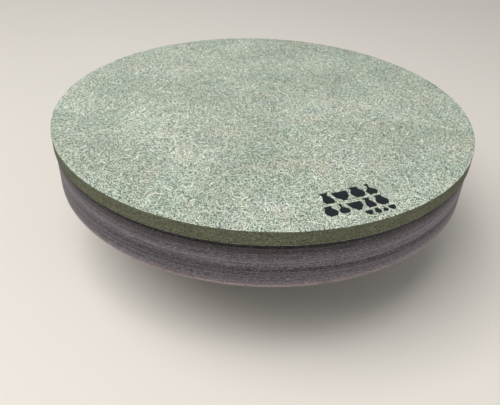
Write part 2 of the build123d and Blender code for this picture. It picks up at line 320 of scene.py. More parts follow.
black_oxide, tree, shader = new_finish("black oxide", tint(40, 40, 43), 0.42, 0.6)
point = place(tree)
bloom = noise(tree, point, 260, 4, 0.6)
rubbed = spread(tree, noise(tree, point, 900, 3, 0.7), 0.62, 0.75, 0.0, 0.5)
oxide_colour = mix(tree, bloom, tint(30, 30, 33), tint(58, 57, 58))
tree.links.new(mix(tree, rubbed, oxide_colour, tint(118, 112, 106)), shader.inputs["Base Color"])
tree.links.new(spread(tree, bloom, 0.3, 0.7, 0.34, 0.56), shader.inputs["Roughness"])
relief(tree, shader, bloom, 0.00003)
dress(black_oxide, "spindle_circlip", "housing_circlip", "hub_set_screws")


# ---------------------------------------------------------------------------------------------
# The splash slinger. A disc spun from thin stainless sheet, pressed on under the spindle's collar.
# The spinning tool leaves fine rings, and water leaves pale rounded spots.
# ---------------------------------------------------------------------------------------------
stainless, tree, shader = new_finish("spun stainless sheet", tint(196, 196, 194), 0.3, 1.0)
spun = turning_noise(tree, 1900, 14, 3, 0.6)
point = place(tree)
spots = add(tree, "ShaderNodeTexVoronoi", {"Vector": point, "Scale": 130.0}).outputs["Distance"]
water = spread(tree, spots, 0.05, 0.22, 0.35, 0.0)
stainless_colour = mix(tree, spun, tint(170, 170, 168), tint(206, 206, 204))
tree.links.new(mix(tree, water, stainless_colour, tint(206, 200, 188)), shader.inputs["Base Color"])
worn = calc(tree, "ADD", calc(tree, "MULTIPLY", spun, 0.35), calc(tree, "MULTIPLY", water, 0.5))
tree.links.new(calc(tree, "ADD", worn, 0.12), shader.inputs["Roughness"])
relief(tree, shader, spun, 0.00002)
dress(stainless, "splash_slinger")


# ---------------------------------------------------------------------------------------------
# The wheel head. One aluminium casting, turned on its top, its side and its rounded edges, with
# rings left by the tool and dark with dried clay, and as cast underneath, where six ribs join
# the hub to the skirt. It stands on the spindle's nose, held by the key and three set screws.
# ---------------------------------------------------------------------------------------------
head_low, head_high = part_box("wheel_head")
spindle_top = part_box("spindle")[1].z
pins_low, pins_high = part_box("bat_pins")
washers_low, washers_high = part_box("bat_pin_washers")
screws_low, screws_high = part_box("hub_set_screws")
key_low, key_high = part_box("hub_key")
head_radius = head_high.x
head_top = head_high.z
head_depth = 0.0325
head_rim_low = head_top - head_depth
head_plate_under = washers_high.z
head_skirt_wall = 0.011
head_skirt_draft = 0.0025
head_skirt_inside = head_radius - head_skirt_wall
head_skirt_mouth = head_skirt_inside + head_skirt_draft
head_top_round = 0.004
clean_inset = 0.0055
head_low_round = 0.0025
head_cove = 0.005
hub_radius = 0.029
hub_root_radius = 0.032
hub_foot_round = 0.0015
nose_radius = 0.012
pin_head_radius = 0.005
pin_x = pins_high.x - pin_head_radius
pin_hole_radius = 0.0033
pin_hole_length = 0.03
plain_round_pin = 0.008
groove_step = 0.012
groove_depth = 0.0004
groove_count = 12
rib_count = 6
rib_width = 0.007


def outline_object(name, corners, closed=False):
    """An outline in the XZ plane, from corners of (radius, height, round), as a chain of edges."""
    mesh = bpy.data.meshes.new(name)
    edges = [(step, step + 1) for step in range(len(corners) - 1)]
    if closed:
        edges.append((len(corners) - 1, 0))
    mesh.from_pydata([(radius, 0, height) for radius, height, _ in corners], edges, [])
    rounds = mesh.attributes.new("round", "FLOAT", "POINT")
    for item, (_, _, size) in zip(rounds.data, corners):
        item.value = size
    made = bpy.data.objects.new(name, mesh)
    bpy.context.collection.objects.link(made)
    return made


def new_shape_tree(name, **kinds):
    """An empty Geometry Nodes tree with named inputs, and the sockets that they give."""
    tree = bpy.data.node_groups.new(name, "GeometryNodeTree")
    tree.interface.new_socket("Geometry", in_out="OUTPUT", socket_type="NodeSocketGeometry")
    for label, kind in kinds.items():
        tree.interface.new_socket(label, in_out="INPUT", socket_type="NodeSocket" + kind)
    given = tree.nodes.new("NodeGroupInput").outputs
    return tree, {label: given[label] for label in kinds}


def shape_from(tree, name, **inputs):
    """Runs a Geometry Nodes tree, and returns an object that holds its result as a plain mesh."""
    made = bpy.data.objects.new(name, bpy.data.meshes.new(name))
    bpy.context.collection.objects.link(made)
    modifier = made.modifiers.new("shape", "NODES")
    modifier.node_group = tree
    for item in tree.interface.items_tree:
        if item.in_out == "INPUT":
            modifier[item.identifier] = inputs[item.name]
    evaluated = made.evaluated_get(bpy.context.evaluated_depsgraph_get())
    mesh = bpy.data.meshes.new_from_object(evaluated)
    if mesh.materials[0] is None:
        mesh.materials.pop(index=0)
    made.modifiers.clear()
    made.data = mesh
    mesh.name = name
    return made


def end_tree(tree, geometry):
    """Joins a tree's result to its output."""
    tree.links.new(geometry, tree.nodes.new("NodeGroupOutput").inputs["Geometry"])


def rounded_outline(tree, outline):
    """Nodes that read an outline object as a curve and round its corners by their own sizes."""
    drawn = add(tree, "GeometryNodeObjectInfo", {"Object": outline}).outputs["Geometry"]
    curve = add(tree, "GeometryNodeMeshToCurve", {"Mesh": drawn}).outputs["Curve"]
    sizes = add(tree, "GeometryNodeInputNamedAttribute", {"Name": "round"}).outputs["Attribute"]
    inputs = {"Curve": curve, "Count": 5, "Radius": sizes, "Limit Radius": True}
    return add(tree, "GeometryNodeFilletCurve", inputs, mode="POLY").outputs["Curve"]


def turned_grid(tree, outline, sides):
    """Nodes for a body turned about Z: a grid with one row for each point of the outline.

    Gives the grid, and each of its points' radius, height and angle.
    """
    rounded = rounded_outline(tree, outline)
    counted = {"Geometry": rounded}
    rows = add(tree, "GeometryNodeAttributeDomainSize", counted, component="CURVE").outputs[0]
    columns = calc(tree, "ADD", sides, 1)
    sized = {"Size X": 1.0, "Size Y": 1.0, "Vertices X": rows, "Vertices Y": columns}
    grid = add(tree, "GeometryNodeMeshGrid", sized).outputs["Mesh"]
    index = add(tree, "GeometryNodeInputIndex").outputs["Index"]
    row = calc(tree, "FLOOR", calc(tree, "DIVIDE", calc(tree, "ADD", index, 0.5), columns))
    column = calc(tree, "SUBTRACT", index, calc(tree, "MULTIPLY", row, columns))
    position = add(tree, "GeometryNodeInputPosition").outputs["Position"]
    picked = {"Geometry": rounded, "Value": position, "Index": row}
    corner = add(tree, "GeometryNodeSampleIndex", picked, data_type="FLOAT_VECTOR").outputs[0]
    parts = add(tree, "ShaderNodeSeparateXYZ", {0: corner}).outputs
    angle = calc(tree, "DIVIDE", calc(tree, "MULTIPLY", column, math.tau), sides)
    return grid, parts[0], parts[2], angle


def round_the_axis(tree, grid, radius, height, angle):
    """Sets each point of a turned grid in its place, and closes its seam and its poles."""
    parts = {
        0: calc(tree, "MULTIPLY", radius, calc(tree, "COSINE", angle)),
        1: calc(tree, "MULTIPLY", radius, calc(tree, "SINE", angle)),
        2: height,
    }
    spot = add(tree, "ShaderNodeCombineXYZ", parts).outputs[0]
    bent = add(tree, "GeometryNodeSetPosition", {"Geometry": grid, "Position": spot}).outputs[0]
    joined = {"Geometry": bent, "Distance": 0.00001}
    return add(tree, "GeometryNodeMergeByDistance", joined).outputs["Geometry"]


def tool_marks(tree, radius, height, angle, across, along):
    """Noise that runs round the axis, for the relief that a turning tool leaves."""
    parts = {
        0: calc(tree, "MULTIPLY", calc(tree, "COSINE", angle), along),
        1: calc(tree, "MULTIPLY", calc(tree, "SINE", angle), along),
        2: calc(tree, "MULTIPLY", calc(tree, "ADD", height, radius), across),
    }
    spot = add(tree, "ShaderNodeCombineXYZ", parts).outputs[0]
    return add(tree, "ShaderNodeTexNoise", {"Vector": spot, "Scale": 1.0, "Detail": 1.0}).outputs[0]


def spots_at(tree, *corners):
    """Loose points at the places given."""
    joined = add(tree, "GeometryNodeJoinGeometry")
    for corner in corners:
        one = add(tree, "GeometryNodePoints", {"Count": 1, "Position": corner}).outputs[0]
        tree.links.new(one, joined.inputs[0])
    return joined.outputs[0]


def copies(tree, points, shape, rotation=None):
    """One real copy of a shape at each point."""
    inputs = {"Points": points, "Instance": shape}
    if rotation:
        inputs["Rotation"] = rotation
    placed = add(tree, "GeometryNodeInstanceOnPoints", inputs).outputs["Instances"]
    return add(tree, "GeometryNodeRealizeInstances", {"Geometry": placed}).outputs["Geometry"]


def about_z(tree, count, first=0.0):
    """As many points on the axis as copies are wanted, and the turn about Z of each."""
    points = add(tree, "GeometryNodePoints", {"Count": count}).outputs[0]
    index = add(tree, "GeometryNodeInputIndex").outputs["Index"]
    share = calc(tree, "DIVIDE", index, count)
    angle = calc(tree, "ADD", calc(tree, "MULTIPLY", share, math.tau), first)
    turn = add(tree, "ShaderNodeCombineXYZ", {2: angle}).outputs[0]
    return points, add(tree, "FunctionNodeEulerToRotation", {0: turn}).outputs[0]


def moved(tree, shape, shift=(0, 0, 0), turn=(0, 0, 0), scale=(1, 1, 1)):
    """A shape turned, scaled and shifted."""
    inputs = {"Geometry": shape, "Translation": shift, "Rotation": turn, "Scale": scale}
    return add(tree, "GeometryNodeTransform", inputs).outputs["Geometry"]


def cylinder(tree, radius, depth, sides=48):
    """A cylinder on the Z axis."""
    inputs = {"Vertices": sides, "Radius": radius, "Depth": depth}
    return add(tree, "GeometryNodeMeshCylinder", inputs).outputs["Mesh"]


def combine(tree, operation, first, second):
    """A solid joined with another, or cut by it."""
    made = add(tree, "GeometryNodeMeshBoolean", None, operation=operation, solver="MANIFOLD")
    if operation == "UNION":
        tree.links.new(first, made.inputs[1])
        tree.links.new(second, made.inputs[1])
    else:
        tree.links.new(first, made.inputs[0])
        tree.links.new(second, made.inputs[1])
    return made.outputs["Mesh"]


def smooth_but_for(tree, shape, crease):
    """Smooth shading everywhere but on edges sharper than the crease."""
    soft = add(tree, "GeometryNodeSetShadeSmooth", {"Geometry": shape}).outputs[0]
    bend = add(tree, "GeometryNodeInputMeshEdgeAngle").outputs["Unsigned Angle"]
    sharp = calc(tree, "GREATER_THAN", bend, crease)
    inputs = {"Geometry": soft, "Selection": sharp, "Shade Smooth": False}
    return add(tree, "GeometryNodeSetShadeSmooth", inputs, domain="EDGE").outputs[0]


def painted(tree, shape, material, where=None):
    """A shape with a material on all of it, or only where asked."""
    inputs = {"Geometry": shape, "Material": material}
    if where is not None:
        inputs["Selection"] = where
    return add(tree, "GeometryNodeSetMaterial", inputs).outputs["Geometry"]


turned_aluminium, tree, shader = new_finish("turned aluminium", tint(118, 112, 116), 0.5, 0.4)
point = place(tree)
wide_rings = turning_noise(tree, 420, 6, 3, 0.6)
fine_rings = turning_noise(tree, 1500, 14, 2, 0.6)
dashes = turning_noise(tree, 1700, 620, 2, 0.6)
dark_dashes = turning_noise(tree, 1500, 460, 2, 0.6, (0.3, 0.2, 0.1))
film = noise(tree, place(tree, (0.3, 0.1, 0.7), (1, 1, 2)), 55, 4, 0.6)
pits = noise(tree, point, 1100, 2, 0.6)
parts = add(tree, "ShaderNodeSeparateXYZ", {0: point}).outputs
height_share = spread(tree, parts[2], head_rim_low, head_top)
# Colour down the side by height. Turning bands, with painted shade at the top under the bat's overhang,
# and a warm, bright painted reflection along the lower rounded edge.
bands_and_painted_light = ramp(
    tree,
    height_share,
    (0.00, tint(196, 176, 168)),
    (0.07, tint(190, 173, 168)),
    (0.11, tint(138, 126, 126)),
    (0.17, tint(112, 104, 108)),
    (0.21, tint(84, 79, 86)),
    (0.26, tint(110, 105, 112)),
    (0.31, tint(80, 74, 77)),
    (0.36, tint(70, 63, 65)),
    (0.43, tint(66, 59, 60)),
    (0.48, tint(86, 79, 81)),
    (0.54, tint(108, 102, 106)),
    (0.61, tint(122, 115, 121)),
    (0.66, tint(116, 109, 114)),
    (0.69, tint(98, 92, 97)),
    (0.75, tint(120, 113, 119)),
    (0.80, tint(100, 93, 97)),
    (0.85, tint(80, 71, 72)),
    (0.91, tint(58, 48, 45)),
    (1.00, tint(50, 40, 35)),
)
ringed = mix(tree, spread(tree, wide_rings, 0.36, 0.66), tint(222, 219, 221), tint(255, 252, 255))
metal_colour = mix(tree, 1.0, bands_and_painted_light, ringed, "MULTIPLY")
metal_colour = mix(tree, spread(tree, film, 0.50, 0.72, 0.0, 0.35), metal_colour, tint(100, 92, 95))
smears = turning_noise(tree, 240, 52, 3, 0.65, (0.1, 0.4, 0.2))
metal_colour = mix(tree, spread(tree, smears, 0.50, 0.70, 0.0, 0.45), metal_colour, tint(68, 62, 66))
lines = spread(tree, fine_rings, 0.52, 0.68, 0.0, 0.40)
metal_colour = mix(tree, lines, metal_colour, tint(146, 139, 148))
off_line = calc(tree, "ABSOLUTE", calc(tree, "SUBTRACT", turning_noise(tree, 800, 2.5, 1), 0.5))
scribed = spread(tree, off_line, 0.014, 0.055, 0.65, 0.0)
metal_colour = mix(tree, scribed, metal_colour, tint(158, 152, 164))
gritty = spread(tree, dark_dashes, 0.50, 0.64, 0.0, 0.70)
metal_colour = mix(tree, gritty, metal_colour, tint(56, 51, 57))
glints = spread(tree, dashes, 0.50, 0.66, 0.0, 0.72)
metal_colour = mix(tree, glints, metal_colour, tint(162, 155, 168))
metal_colour = mix(tree, spread(tree, pits, 0.60, 0.70, 0.0, 0.5), metal_colour, tint(50, 44, 46))
# Darkens the side by height: deeper dark bands low on the side, and painted shade over the upper part,
# under the bat's overhang.
darkening = ramp(
    tree,
    height_share,
    (0.10, tint(238, 238, 238)),
    (0.25, tint(226, 226, 226)),
    (0.33, tint(190, 189, 189)),
    (0.45, tint(214, 213, 213)),
    (0.55, tint(232, 231, 231)),
    (0.70, tint(228, 226, 226)),
    (0.78, tint(190, 186, 185)),
    (0.85, tint(154, 149, 147)),
    (1.00, tint(140, 134, 130)),
)
metal_colour = mix(tree, 1.0, metal_colour, darkening, "MULTIPLY")
from_axis = out_from_axis(tree, parts)
under_bat = spread(tree, from_axis, head_radius - clean_inset, head_radius - head_top_round, 1.0, 0.0)
faced = mix(tree, spread(tree, fine_rings, 0.35, 0.65), tint(122, 118, 120), tint(164, 160, 162))
faced = mix(tree, spread(tree, film, 0.45, 0.70, 0.0, 0.6), faced, tint(142, 132, 120))
faced = mix(tree, gritty, faced, tint(96, 90, 90))
metal_colour = mix(tree, under_bat, metal_colour, faced)
tree.links.new(metal_colour, shader.inputs["Base Color"])
tree.links.new(spread(tree, fine_rings, 0.3, 0.7, 0.42, 0.62), shader.inputs["Roughness"])
ring_height = calc(tree, "ADD", fine_rings, calc(tree, "MULTIPLY", dashes, 0.5))
relief(tree, shader, ring_height, 0.00008)

cast_aluminium, tree, shader = new_finish("aluminium as cast", tint(150, 148, 146), 0.55, 0.7)
point = place(tree)
cast_grain = noise(tree, point, 700, 3, 0.6)
cast_cloud = noise(tree, point, 45, 4, 0.6)
cast_colour = mix(tree, cast_cloud, tint(120, 117, 115), tint(172, 170, 168))
slip = spread(tree, noise(tree, point, 120, 5, 0.7), 0.56, 0.70, 0.0, 0.6)
tree.links.new(mix(tree, slip, cast_colour, tint(146, 136, 124)), shader.inputs["Base Color"])
tree.links.new(spread(tree, cast_grain, 0.3, 0.7, 0.45, 0.7), shader.inputs["Roughness"])
relief(tree, shader, cast_grain, 0.0003)

head_sides = 432
side_rows = 60
head_corners = [(0.0, head_top, 0.0), (nose_radius, head_top, 0.0)]
for step in range(2, groove_count + 1):
    groove = groove_step * step
    if abs(groove - pin_x) > plain_round_pin:
        head_corners += [
            (groove - groove_depth, head_top, 0.0),
            (groove, head_top - groove_depth, 0.0),
            (groove + groove_depth, head_top, 0.0),
        ]
head_corners.append((head_radius, head_top, head_top_round))
row_gap = 0.0004
side_high = head_top - head_top_round - row_gap
side_low = head_rim_low + head_low_round + row_gap
for step in range(side_rows + 1):
    level = side_high + (side_low - side_high) * step / side_rows
    head_corners.append((head_radius, level, 0.0))
head_corners += [
    (head_radius, head_rim_low, head_low_round),
    (head_skirt_mouth, head_rim_low, head_low_round),
    (head_skirt_inside, head_plate_under, head_cove),
    (hub_root_radius, head_plate_under, head_cove),
    (hub_radius, head_low.z, hub_foot_round),
    (nose_radius, head_low.z, 0.0),
    (nose_radius, spindle_top, 0.0),
    (0.0, spindle_top, 0.0),
]

rib_start = hub_radius - 0.003
rib_end = head_skirt_inside + 0.002
rib_deep = 0.016
rib_shallow = 0.009
rib_flare = 0.003
rib_root = 0.001
rib_draft = 0.0008
rib_edge_round = 0.0015
half = rib_width / 2
rib_corners = [
    (half + rib_flare, rib_root, 0.0),
    (-half - rib_flare, rib_root, 0.0),
    (-half - rib_flare, 0.0, 0.0),
    (-half, 0.0, rib_flare * 0.9),
    (-half + rib_draft, -rib_deep, rib_edge_round),
    (half - rib_draft, -rib_deep, rib_edge_round),
    (half, 0.0, rib_flare * 0.9),
    (half + rib_flare, 0.0, 0.0),
]

tree, given = new_shape_tree(
    "wheel head",
    Outline="Object",
    Rib_Outline="Object",
    Sides="Int",
    Rib_Count="Int",
    Tool_Mark_Depth="Float",
    Turned="Material",
    Cast="Material",
)
grid, radius, height, angle = turned_grid(tree, given["Outline"], given["Sides"])
on_side = calc(tree, "GREATER_THAN", radius, head_radius - 0.0001)
marks = tool_marks(tree, radius, height, angle, 900, 0.8)
marks = calc(tree, "MULTIPLY", calc(tree, "MULTIPLY", marks, on_side), given["Tool_Mark_Depth"])
radius = calc(tree, "SUBTRACT", radius, marks)
body = round_the_axis(tree, grid, radius, height, angle)

quarter = math.pi / 2
section = moved(tree, rounded_outline(tree, given["Rib_Outline"]), turn=(-quarter, 0, 0))
run = {"Start": (0, 0, 0), "End": (0, 0, rib_end - rib_start)}
path = add(tree, "GeometryNodeCurvePrimitiveLine", run).outputs[0]
swept = {"Curve": path, "Profile Curve": section, "Fill Caps": True}
rib = add(tree, "GeometryNodeCurveToMesh", swept).outputs[0]
rib = moved(tree, rib, shift=(rib_start, 0, 0), turn=(quarter, 0, quarter))
parts = add(tree, "ShaderNodeSeparateXYZ", {0: add(tree, "GeometryNodeInputPosition").outputs[0]})
x, y, z = parts.outputs
shallower = spread(tree, x, rib_start, rib_end, 1.0, rib_shallow / rib_deep)
lifted = calc(tree, "ADD", calc(tree, "MULTIPLY", z, shallower), head_plate_under)
spot = add(tree, "ShaderNodeCombineXYZ", {0: x, 1: y, 2: lifted}).outputs[0]
rib = add(tree, "GeometryNodeSetPosition", {"Geometry": rib, "Position": spot}).outputs[0]
points, turns = about_z(tree, given["Rib_Count"], math.pi / rib_count)
body = combine(tree, "UNION", body, copies(tree, points, rib, turns))

screw_z = (screws_low.z + screws_high.z) / 2
screw_count = 3
screw_hole_radius = 0.004
screw_hole_start = 0.010
screw_hole_length = 0.026
screw_hole = moved(
    tree,
    cylinder(tree, screw_hole_radius, screw_hole_length),
    shift=(screw_hole_start + screw_hole_length / 2, 0, screw_z),
    turn=(0, quarter, 0),
)
points, turns = about_z(tree, screw_count, math.pi / screw_count)
body = combine(tree, "DIFFERENCE", body, copies(tree, points, screw_hole, turns))
keyway_low = head_low.z - 0.001
keyway_size = (key_high.x, key_high.y - key_low.y, key_high.z - keyway_low)
keyway = add(tree, "GeometryNodeMeshCube", {"Size": keyway_size}).outputs["Mesh"]
keyway = moved(tree, keyway, shift=(key_high.x / 2, 0, (keyway_low + key_high.z) / 2))
body = combine(tree, "DIFFERENCE", body, keyway)
pin_spots = spots_at(tree, (-pin_x, 0, head_plate_under), (pin_x, 0, head_plate_under))
pin_hole = cylinder(tree, pin_hole_radius, pin_hole_length)
body = combine(tree, "DIFFERENCE", body, copies(tree, pin_spots, pin_hole))

body = smooth_but_for(tree, body, math.radians(32))
position = add(tree, "GeometryNodeInputPosition").outputs[0]
x, y, z = add(tree, "ShaderNodeSeparateXYZ", {0: position}).outputs
out = calc(tree, "SQRT", calc(tree, "ADD", calc(tree, "MULTIPLY", x, x), calc(tree, "MULTIPLY", y, y)))
outside = calc(tree, "GREATER_THAN", out, head_skirt_mouth + head_low_round)
turned_skin = 0.0012
on_top = calc(tree, "GREATER_THAN", z, head_top - turned_skin)
body = painted(tree, body, given["Cast"])
body = painted(tree, body, given["Turned"], calc(tree, "MAXIMUM", outside, on_top))
end_tree(tree, body)

head_outline = outline_object("head outline", head_corners)
rib_outline = outline_object("rib outline", rib_corners, closed=True)
head = shape_from(
    tree,
    "wheel_head_casting",
    Outline=head_outline,
    Rib_Outline=rib_outline,
    Sides=head_sides,
    Rib_Count=rib_count,
    Tool_Mark_Depth=0.00016,
    Turned=turned_aluminium,
    Cast=cast_aluminium,
)
bpy.data.objects.remove(head_outline)
bpy.data.objects.remove(rib_outline)
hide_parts("wheel_head")
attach(head, "head")


# ---------------------------------------------------------------------------------------------
# The bat pins. Two zinc-plated socket-head screws stand in the head's top, where their knurled
# heads locate the bat, and are drawn down from below by wing nuts on plain washers.
# ---------------------------------------------------------------------------------------------
zinc, tree, shader = new_finish("bright zinc plate", tint(186, 188, 190), 0.3, 1.0)
point = place(tree)
spangle = noise(tree, point, 480, 3, 0.6)
dulled = spread(tree, noise(tree, point, 140, 4, 0.65), 0.5, 0.7, 0.0, 0.6)
zinc_colour = mix(tree, spangle, tint(168, 172, 178), tint(206, 206, 204))
tree.links.new(mix(tree, dulled, zinc_colour, tint(150, 146, 138)), shader.inputs["Base Color"])
tree.links.new(spread(tree, spangle, 0.3, 0.7, 0.22, 0.42), shader.inputs["Roughness"])
relief(tree, shader, spangle, 0.00002)
dress(zinc, "bat_pin_washers", "bat_pin_wing_nuts")

pin_shank_radius = 0.003
pin_hex_radius = 0.0025 / math.cos(math.pi / 6)
pin_hex_depth = 0.003
pin_pitch = 0.001
pin_point_round = 0.0008
pin_thread_high = washers_low.z - 0.005
pin_thread_low = pins_low.z + 0.0009
thread_rows = 88
knurl_high = pins_high.z - 0.0012
knurl_low = head_top + 0.0008
pin_corners = [
    (0.0, pins_high.z, 0.0),
    (pin_head_radius, pins_high.z, 0.0006),
    (pin_head_radius, knurl_high, 0.0),
    (pin_head_radius, knurl_low, 0.0),
    (pin_head_radius, head_top, 0.0003),
    (pin_shank_radius, head_top, 0.0),
]
for step in range(thread_rows + 1):
    level = pin_thread_high + (pin_thread_low - pin_thread_high) * step / thread_rows
    pin_corners.append((pin_shank_radius, level, 0.0))
pin_corners += [(pin_shank_radius, pins_low.z, pin_point_round), (0.0, pins_low.z, 0.0)]

tree, given = new_shape_tree(
    "bat pins",
    Outline="Object",
    Sides="Int",
    Knurl_Count="Float",
    Knurl_Depth="Float",
    Pitch="Float",
    Thread_Depth="Float",
    Finish="Material",
)
grid, radius, height, angle = turned_grid(tree, given["Outline"], given["Sides"])
turned_by = calc(tree, "DIVIDE", angle, math.tau)
climb = calc(tree, "SUBTRACT", calc(tree, "DIVIDE", height, given["Pitch"]), turned_by)
thread = calc(tree, "MULTIPLY", calc(tree, "PINGPONG", climb, 0.5), given["Thread_Depth"])
in_thread = calc(tree, "LESS_THAN", height, pin_thread_high)
in_thread = calc(tree, "MULTIPLY", in_thread, calc(tree, "GREATER_THAN", radius, 0.001))
ridge = calc(tree, "PINGPONG", calc(tree, "MULTIPLY", turned_by, given["Knurl_Count"]), 0.5)
knurl = calc(tree, "MULTIPLY", ridge, given["Knurl_Depth"])
knurl_middle = (knurl_high + knurl_low) / 2
knurl_reach = (knurl_high - knurl_low) / 2 + 0.0002
in_knurl = calc(tree, "COMPARE", height, knurl_middle, knurl_reach)
in_knurl = calc(tree, "MULTIPLY", in_knurl, calc(tree, "GREATER_THAN", radius, 0.0049))
thread = calc(tree, "MULTIPLY", thread, in_thread)
cut = calc(tree, "ADD", thread, calc(tree, "MULTIPLY", knurl, in_knurl))
pin = round_the_axis(tree, grid, calc(tree, "SUBTRACT", radius, cut), height, angle)
socket = cylinder(tree, pin_hex_radius, 2 * pin_hex_depth, 6)
pin = combine(tree, "DIFFERENCE", pin, moved(tree, socket, shift=(0, 0, pins_high.z)))
pins = copies(tree, spots_at(tree, (-pin_x, 0, 0), (pin_x, 0, 0)), pin)
end_tree(tree, painted(tree, smooth_but_for(tree, pins, math.radians(28)), given["Finish"]))

pin_outline = outline_object("pin outline", pin_corners)
pins = shape_from(
    tree,
    "bat_pin_screws",
    Outline=pin_outline,
    Sides=120,
    Knurl_Count=30.0,
    Knurl_Depth=0.0005,
    Pitch=pin_pitch,
    Thread_Depth=0.0011,
    Finish=zinc,
)
bpy.data.objects.remove(pin_outline)
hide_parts("bat_pins")
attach(pins, "head")


# ---------------------------------------------------------------------------------------------
# The throwing bat. A disc cut from 10 mm moisture-resistant fibreboard, dyed green right through.
# Its faces are sanded, pale and mottled, its sawn edge is darker, and both arrises are eased. Two
# blind sockets underneath drop over the bat pins.
# ---------------------------------------------------------------------------------------------
board_radius = board_high.x
board_surface = board_high.z - 0.00006
socket_radius = 0.0052
socket_depth = 0.007

face_finish, tree, shader = new_finish("sanded green fibreboard", tint(172, 180, 164), 0.86)
point = place(tree)
clouds = noise(tree, point, 24, 3, 0.55)
cool_patches = spread(tree, noise(tree, place(tree, (0.4, 0.1, 0)), 34, 3, 0.6), 0.50, 0.70, 0.0, 0.42)
warm_patches = spread(tree, noise(tree, place(tree, (0.1, 0.7, 0)), 48, 3, 0.6), 0.54, 0.71, 0.0, 0.42)
blue_patches = spread(tree, noise(tree, place(tree, (0.8, 0.5, 0)), 60, 2, 0.5), 0.57, 0.72, 0.0, 0.36)
grain = noise(tree, point, 1700, 3, 0.75, 0.2)
board_colour = ramp(
    tree,
    grain,
    (0.405, tint(8, 22, 10)),
    (0.453, tint(84, 105, 84)),
    (0.50, tint(163, 181, 158)),
    (0.547, tint(224, 234, 210)),
    (0.585, tint(255, 255, 246)),
)
board_colour = mix(tree, cool_patches, board_colour, tint(132, 164, 145))
board_colour = mix(tree, warm_patches, board_colour, tint(206, 190, 166))
board_colour = mix(tree, blue_patches, board_colour, tint(156, 170, 178))


def strokes(tree, shift, per_metre, half_length, half_width, gone):
    """Short curved strokes turned every way, one to each cell of a scattered net, some left out."""
    point = place(tree, shift)
    net = {"Vector": point, "Scale": per_metre}
    cells = add(tree, "ShaderNodeTexVoronoi", net, voronoi_dimensions="2D").outputs
    within = add(tree, "ShaderNodeVectorMath", {0: point, 1: cells["Position"]}, operation="SUBTRACT")
    lot = add(tree, "ShaderNodeSeparateColor", {0: cells["Color"]}).outputs
    turned = {"Vector": within.outputs[0], "Angle": calc(tree, "MULTIPLY", lot[0], math.tau)}
    turned = add(tree, "ShaderNodeVectorRotate", turned, rotation_type="Z_AXIS").outputs[0]
    along, across, _ = add(tree, "ShaderNodeSeparateXYZ", {0: turned}).outputs
    bend = calc(tree, "MULTIPLY", calc(tree, "SUBTRACT", lot[1], 0.5), 0.5 / half_length)
    bow = calc(tree, "MULTIPLY", calc(tree, "MULTIPLY", along, along), bend)
    off = calc(tree, "ABSOLUTE", calc(tree, "SUBTRACT", across, bow))
    line = spread(tree, off, half_width * 0.4, half_width, 1.0, 0.0)
    ends = spread(tree, calc(tree, "ABSOLUTE", along), half_length * 0.8, half_length, 1.0, 0.0)
    drawn = calc(tree, "MULTIPLY", line, ends)
    return calc(tree, "MULTIPLY", drawn, spread(tree, lot[2], gone, gone + 0.01))


fibre_ridges = None
for shift, per_metre, half_length, half_width, gone, strength, colour in (
    ((0.31, 0.22, 0), 720, 0.0007, 0.00026, 0.20, 0.85, tint(34, 56, 37)),
    ((0.12, 0.61, 0), 690, 0.0008, 0.00026, 0.20, 0.84, tint(238, 243, 224)),
    ((0.47, 0.35, 0), 460, 0.0010, 0.00028, 0.58, 0.88, tint(30, 50, 33)),
    ((0.83, 0.64, 0), 420, 0.0013, 0.00026, 0.60, 0.88, tint(250, 252, 233)),
    ((0.55, 0.93, 0), 150, 0.0034, 0.00030, 0.74, 0.90, tint(252, 252, 236)),
):
    drawn = strokes(tree, shift, per_metre, half_length, half_width, gone)
    board_colour = mix(tree, calc(tree, "MULTIPLY", drawn, strength), board_colour, colour)
    fibre_ridges = drawn if fibre_ridges is None else calc(tree, "MAXIMUM", fibre_ridges, drawn)
specks = noise(tree, place(tree, (0.9, 0.3, 0)), 620, 1, 0.5)
board_colour = mix(tree, spread(tree, specks, 0.68, 0.73, 0.0, 0.8), board_colour, tint(44, 56, 42))
shade_of_cloud = ramp(tree, clouds, (0.32, tint(226, 228, 225)), (0.66, tint(255, 255, 255)))
board_colour = mix(tree, 1.0, board_colour, shade_of_cloud, "MULTIPLY")
tree.links.new(board_colour, shader.inputs["Base Color"])
shader.inputs["Specular IOR Level"].default_value = 0.3
tree.links.new(spread(tree, grain, 0.3, 0.7, 0.78, 0.92), shader.inputs["Roughness"])
relief(tree, shader, calc(tree, "ADD", grain, calc(tree, "MULTIPLY", fibre_ridges, 0.5)), 0.00012)

edge_finish, tree, shader = new_finish("sawn green fibreboard", tint(100, 104, 86), 0.9)
point = place(tree)
fluff = noise(tree, point, 1200, 3, 0.65)
layers = noise(tree, place(tree, (0, 0, 0.2), (1, 1, 14)), 110, 3, 0.6)
saw_lines = noise(tree, place(tree, (0, 0, 0), (1, 1, 0.12)), 700, 2, 0.6)
edge_colour = ramp(
    tree,
    calc(tree, "ADD", calc(tree, "MULTIPLY", fluff, 0.75), calc(tree, "MULTIPLY", layers, 0.25)),
    (0.36, tint(60, 63, 47)),
    (0.50, tint(92, 95, 76)),
    (0.64, tint(130, 130, 107)),
)
singed = spread(tree, noise(tree, place(tree, (0.2, 0.5, 0.1)), 70, 3, 0.6), 0.50, 0.72, 0.0, 0.4)
edge_colour = mix(tree, singed, edge_colour, tint(84, 80, 62))
tree.links.new(edge_colour, shader.inputs["Base Color"])
shader.inputs["Specular IOR Level"].default_value = 0.25
relief(tree, shader, calc(tree, "ADD", fluff, calc(tree, "MULTIPLY", saw_lines, 0.7)), 0.00015)

